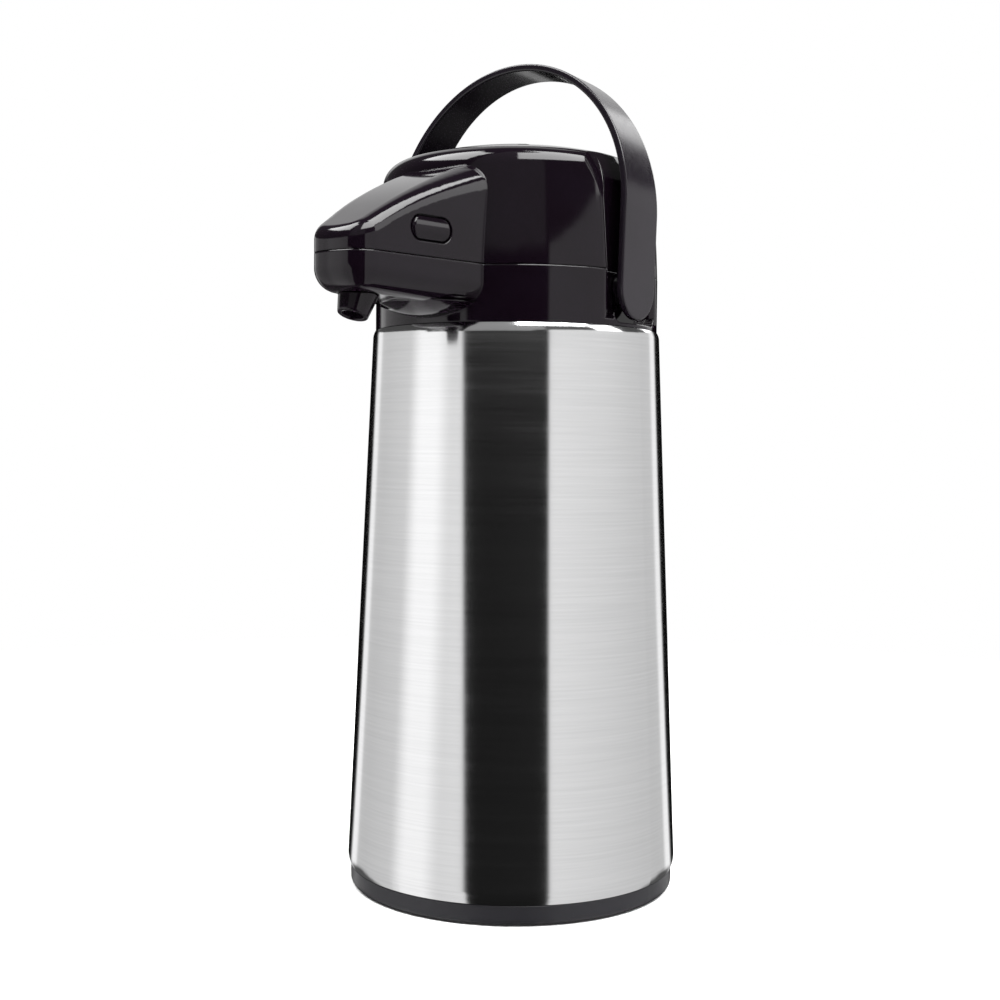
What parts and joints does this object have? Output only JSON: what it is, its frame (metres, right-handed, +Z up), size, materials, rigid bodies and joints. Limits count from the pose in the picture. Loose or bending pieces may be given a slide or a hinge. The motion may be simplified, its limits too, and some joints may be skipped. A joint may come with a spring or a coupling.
{
  "type": "thermal coffee airpot",
  "caption": "Tall vacuum pump pot with a tapered steel jacket, black spouted head, push-button pump, squeeze-latched hinged lid, folding bail handle and black base ring.",
  "frame": {"origin": "centre of the foot on the body's axis, on the surface it stands on", "axes": "+Z up along the body's axis, -Y towards the spout, X along the handle's pivots"},
  "size_m": [0.1628, 0.2168, 0.4044],
  "materials": {
    "black_gloss": "high gloss",
    "black_satin": "satin",
    "inner_plastic": "moulded, matt",
    "natural_plastic": "natural polypropylene",
    "steel": "brushed round the body",
    "bright_steel": "bright drawn",
    "mirror_glass": "silvered, evacuated",
    "rubber": "soft matt",
    "silicone": "food-grade silicone"
  },
  "bodies": {
    "pot": {"base_ring": "black_satin", "base_plate": "inner_plastic", "base_screws": "bright_steel", "foot_ring": "rubber", "liner_jack": "inner_plastic", "liner_cushion": "rubber", "outer_shell": "steel", "glass_liner": "mirror_glass", "neck_gasket": "silicone", "collar": "black_gloss", "nozzle": "black_satin", "discharge_pipe": "natural_plastic", "siphon_flange": "natural_plastic", "flange_gasket": "silicone", "dip_tube": "natural_plastic", "lid_hinge_pin": "bright_steel"},
    "handle_pins": {"handle_pin_right": "bright_steel", "handle_pin_left": "bright_steel"},
    "handle": {"handle": "black_satin"},
    "lid": {"lid_shell": "black_gloss", "lid_inner_cover": "inner_plastic", "lid_screws": "bright_steel", "spigot_gasket": "silicone", "check_valve": "silicone", "bellows": "natural_plastic", "bellows_spring": "bright_steel"},
    "button": {"push_button": "black_gloss", "bellows_plate": "inner_plastic", "inlet_seal": "silicone"},
    "lock": {"button_lock": "black_satin"},
    "latch_right": {"latch_right": "black_gloss", "latch_spring_right": "bright_steel"},
    "latch_left": {"latch_left": "black_gloss", "latch_spring_left": "bright_steel"}
  },
  "joints": [
    {"name": "pins_turn", "type": "hinge", "parent": "pot", "child": "handle_pins", "pos_m": [0, 0, 0.291], "axis": [-1, 0, 0], "range_deg": [0, 87.75]},
    {"name": "handle_swing", "type": "hinge", "parent": "handle_pins", "child": "handle", "pos_m": [0, 0, 0.291], "axis": [1, 0, 0], "range_deg": [-88, 0]},
    {"name": "lid_hinge", "type": "hinge", "parent": "pot", "child": "lid", "pos_m": [0, 0.0742, 0.299], "axis": [-1, 0, 0], "range_deg": [0, 13.5]},
    {"name": "button_press", "type": "slide", "parent": "lid", "child": "button", "axis": [0, 0, -1], "range_m": [0, 0.02], "stiffness_N_per_m": 400, "springref_m": -0.01, "deforming": ["bellows", "bellows_spring"]},
    {"name": "lock_slide", "type": "slide", "parent": "lid", "child": "lock", "axis": [1, 0, 0], "range_m": [0, 0.008]},
    {"name": "latch_right_press", "type": "slide", "parent": "lid", "child": "latch_right", "axis": [-0.9863, 0.165, 0], "range_m": [0, 0.0025], "stiffness_N_per_m": 800, "springref_m": -0.002},
    {"name": "latch_left_press", "type": "slide", "parent": "lid", "child": "latch_left", "axis": [0.9863, 0.165, 0], "range_m": [0, 0.0025], "stiffness_N_per_m": 800, "springref_m": -0.002}
  ],
  "couplings": [
    {"joint": "pins_turn", "follows": "lid_hinge", "ratio": 6.5}
  ]
}
